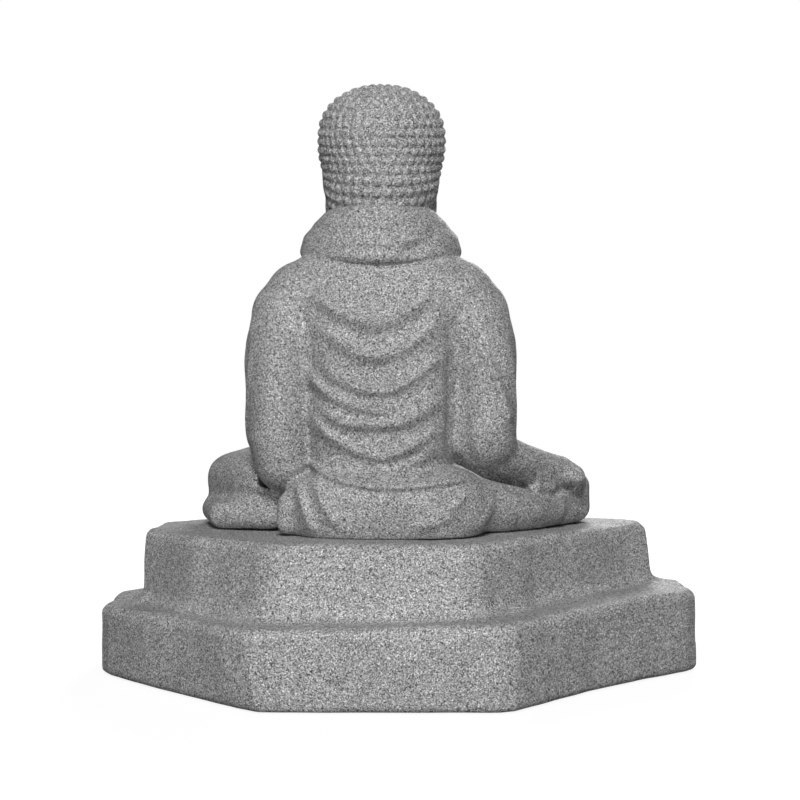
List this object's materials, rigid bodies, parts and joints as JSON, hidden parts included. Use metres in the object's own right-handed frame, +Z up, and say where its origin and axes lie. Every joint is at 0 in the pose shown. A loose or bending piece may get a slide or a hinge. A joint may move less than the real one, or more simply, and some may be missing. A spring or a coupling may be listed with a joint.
{
  "type": "buddha statue",
  "caption": "Seated Buddha garden statue with curled hair, a draped robe and one hand on the knee, on a lobed plinth in two tiers, in granite-look resin.",
  "frame": {"origin": "middle of the plinth's footprint, on the ground", "axes": "+Z up; -Y is the way the figure faces; +X is the figure's left"},
  "size_m": [0.624, 0.458, 0.6099],
  "materials": {
    "granite_resin": "granite effect, speckled black and white, matt",
    "black_resin": "moulded black",
    "rubber": "moulded",
    "stainless": "stainless",
    "brass": "turned"
  },
  "bodies": {
    "statue": {"plinth_shell": "granite_resin", "figure_shell": "granite_resin", "head_shell": "granite_resin", "base_plate": "black_resin", "neck_stud": "stainless", "neck_washer": "stainless", "neck_nut": "stainless", "figure_insert_1": "brass", "figure_insert_2": "brass", "figure_insert_3": "brass", "figure_insert_4": "brass", "figure_washer_1": "stainless", "figure_washer_2": "stainless", "figure_washer_3": "stainless", "figure_washer_4": "stainless", "figure_bolt_1": "stainless", "figure_bolt_2": "stainless", "figure_bolt_3": "stainless", "figure_bolt_4": "stainless", "plate_screw_1": "stainless", "plate_screw_2": "stainless", "plate_screw_3": "stainless", "plate_screw_4": "stainless", "plate_screw_5": "stainless", "plate_screw_6": "stainless", "plate_screw_7": "stainless", "plate_screw_8": "stainless"},
    "plug": {"fill_plug": "black_resin", "plug_seal": "rubber"}
  },
  "joints": [
    {"name": "plug_pull", "type": "slide", "parent": "statue", "child": "plug", "axis": [0, 0, -1], "range_m": [0, 0.028]}
  ]
}
